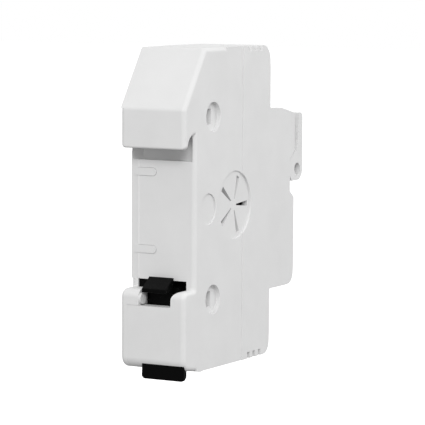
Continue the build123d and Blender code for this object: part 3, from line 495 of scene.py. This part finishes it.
# Drawing marks run round the cap, 0.3 mm apart as drawn.
place = add(tree, "ShaderNodeTexCoord").outputs["Object"]
stretch = add(tree, "ShaderNodeMapping", values={"Scale": (1 / (6 * MM), 1 / (6 * MM), 1 / (0.3 * MM))},
              links={"Vector": place})
marks = add(tree, "ShaderNodeTexNoise", values={"Scale": 1.0, "Detail": 3.0}, links={"Vector": stretch})
tone = add(tree, "ShaderNodeValToRGB", links={"Fac": marks}, stops=((0.2, "#C6C4BD"), (0.8, "#D6D4CE")))
gloss = add(tree, "ShaderNodeMapRange", values={"To Min": 0.16, "To Max": 0.34}, links={"Value": marks})
skin = add(tree, "ShaderNodeBsdfPrincipled", values={"Metallic": 1.0},
           links={"Base Color": tone, "Roughness": gloss})
add(tree, "ShaderNodeOutputMaterial", links={"Surface": skin})

round_tree = bpy.data.node_groups.new("turned_piece", "GeometryNodeTree")
given = size_inputs(round_tree, TURNED_SIZES)
finished(round_tree, turned(round_tree, given), given)
unthreaded = {"Sides": FUSE_SIDES, "Pitch": 1.0, "Thread Deep": 0.0, "Thread Start": 0.0, "Thread End": 1.0}

low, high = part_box("fuse_tube")
tube_long, tube_radius, axis_y = high[2] - low[2], (high[0] - low[0]) / 2, (low[1] + high[1]) / 2
cap_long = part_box("fuse_cap_upper")[1][2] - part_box("fuse_cap_upper")[0][2]
under_cap = cap_long - CAP_FLOOR
neck = tube_radius - CAP_WALL / 2
points = [(0, 0), (neck - TUBE_EDGE, 0), (neck, TUBE_EDGE), (neck, under_cap),
          (tube_radius - SHOULDER_EDGE, under_cap), (tube_radius, under_cap + SHOULDER_EDGE)]
points += [(radius, tube_long - length) for radius, length in reversed(points)]
grown("glazed_tube", round_tree, line_mesh("tube_profile", points), {
    **unthreaded, "Place": (0, axis_y, low[2]), "Tilt": (0, 0, 0), "Finish": glazed_ceramic,
}, "fuse_tube", "carrier")

for side, tilt in (("upper", math.pi), ("lower", 0.0)):
    low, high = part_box("fuse_cap_" + side)
    cap_radius = (high[0] - low[0]) / 2
    bore_radius = cap_radius - CAP_WALL
    roll = cap_long - ROLL_FROM_RIM
    points = [(0, 0)] + [(cap_radius - inset * MM, length * MM) for inset, length in CAP_CROWN]
    for row in range(-ROLL_ROWS, ROLL_ROWS + 1):
        sunk = (1 + math.cos(math.pi * row / ROLL_ROWS)) / 2
        points.append((cap_radius - ROLL_DEEP * sunk, roll + ROLL_HALF * row / ROLL_ROWS))
    points += [(cap_radius, cap_long - RIM_TALL), (cap_radius - RIM_WIDE, cap_long),
               (bore_radius + RIM_INNER, cap_long), (bore_radius, cap_long - RIM_INNER),
               (bore_radius, CAP_FLOOR), (0, CAP_FLOOR)]
    grown("pressed_cap_" + side, round_tree, line_mesh("cap_profile_" + side, points), {
        **unthreaded, "Place": (0, axis_y, high[2] if tilt else low[2]), "Tilt": (tilt, 0, 0),
        "Finish": bright_nickel,
    }, "fuse_cap_" + side, "carrier")

# Fuse carrier: the swing-out moulding with handle bar, coupling hole and trunnions,
# in the same pale grey polyamide as the housing. It turns about its lower end.
moulded("fuse_carrier", "carrier", pale_polyamide, TOOL_RADIUS)

# Side cover: the thin second half of the housing, in the same polyamide, snapped on with
# two hooks. The rail groove runs out towards its outer edge as a slope.
SLOPE_OUTER = -0.15 * MM
groove_inner = ((seam_x - HAIR, *cut_low), (seam_x + HAIR, *cut_high))
groove_end = ((seam_x - HAIR, GROOVE_FLOOR - TOOL_RADIUS, cut_low[1]), (side_x, 0, cut_high[1]))


def slope_groove(bm):
    """Lowers the groove's inner corners to the shell's floor and lifts its outer ones."""
    set_depth(bm, (groove_inner, GROOVE_FLOOR), (groove, SLOPE_OUTER))


moulded("housing_cover", "housing", pale_polyamide, TOOL_RADIUS, (groove_end,), slope_groove)

# Stage: a white studio floor some way below the object, a white surround, a small lamp
# above the rear, a larger and softer one towards the front, and the photograph's camera.
FLOOR_HALF, FLOOR_Z = 4.0, -0.1
LAMP_AIM = Vector((0, -0.02, 0))
LAMPS = (
    # name, place, size in metres, power in watts
    ("lamp_above", (-0.46, 0.73, 0.49), 0.36, 4.7),
    ("lamp_side", (-0.75, -0.6, 0.3), 0.6, 2.3),
)
floor_mesh = bpy.data.meshes.new("studio_floor")
bm = bmesh.new()
bmesh.ops.create_grid(bm, x_segments=1, y_segments=1, size=FLOOR_HALF)
bmesh.ops.translate(bm, verts=bm.verts, vec=(0, 0, FLOOR_Z))
bm.to_mesh(floor_mesh)
bm.free()
floor = bpy.data.objects.new("studio_floor", floor_mesh)
scene.collection.objects.link(floor)
# The floor looks white to the camera and throws a duller light back at the object.
white_paint, tree = new_material("white_studio_paint")
path = add(tree, "ShaderNodeLightPath").outputs
matt = add(tree, "ShaderNodeBsdfDiffuse", values={"Color": linear("#EDEDED")})
dull = add(tree, "ShaderNodeBsdfDiffuse", values={"Color": linear("#A0A0A0")})
glow = add(tree, "ShaderNodeEmission", values={"Color": linear("#FFFFFF"), "Strength": 0.6})
both = add(tree, "ShaderNodeAddShader", links={0: matt, 1: glow})
seen = add(tree, "ShaderNodeMixShader", links={0: path["Is Camera Ray"], 1: dull, 2: both})
add(tree, "ShaderNodeOutputMaterial", links={"Surface": seen})
floor_mesh.materials.append(white_paint)

# The surround is plain white where it is seen, and a little dimmer as light on the object.
world = bpy.data.worlds.new("studio_surround")
world.use_nodes = True
tree = world.node_tree
tree.nodes.clear()
path = add(tree, "ShaderNodeLightPath").outputs
fill = add(tree, "ShaderNodeBackground", values={"Color": linear("#FFFFFF"), "Strength": 0.80})
shown = add(tree, "ShaderNodeBackground", values={"Color": linear("#FFFFFF"), "Strength": 1.0})
camera_or_gloss = add(tree, "ShaderNodeMath", {"operation": "MAXIMUM"},
                      links={0: path["Is Camera Ray"], 1: path["Is Glossy Ray"]})
any_seen = add(tree, "ShaderNodeMath", {"operation": "MAXIMUM"},
               links={0: camera_or_gloss, 1: path["Is Transmission Ray"]})
either = add(tree, "ShaderNodeMixShader", links={0: any_seen, 1: fill, 2: shown})
add(tree, "ShaderNodeOutputWorld", links={"Surface": either})
scene.world = world

for name, where, size, power in LAMPS:
    data = bpy.data.lights.new(name, "AREA")
    data.size = size
    data.energy = power
    lamp = bpy.data.objects.new(name, data)
    lamp.location = where
    lamp.rotation_euler = (LAMP_AIM - Vector(where)).to_track_quat("-Z", "Y").to_euler()
    scene.collection.objects.link(lamp)

# The camera's place, turn and lens were fitted to points all over the photograph.
EYE = Vector((-0.281080, 0.489424, 0.055095))
EYE_TURN = Euler([math.radians(angle) for angle in (84.362938, -0.262723, -151.271068)])
lens = bpy.data.cameras.new("photo_camera")
lens.lens = 206.143
lens.sensor_width = 36.0
camera = bpy.data.objects.new("photo_camera", lens)
camera.matrix_world = Matrix.LocRotScale(EYE, EYE_TURN, None)
scene.collection.objects.link(camera)
scene.camera = camera
scene.view_settings.view_transform = "Standard"
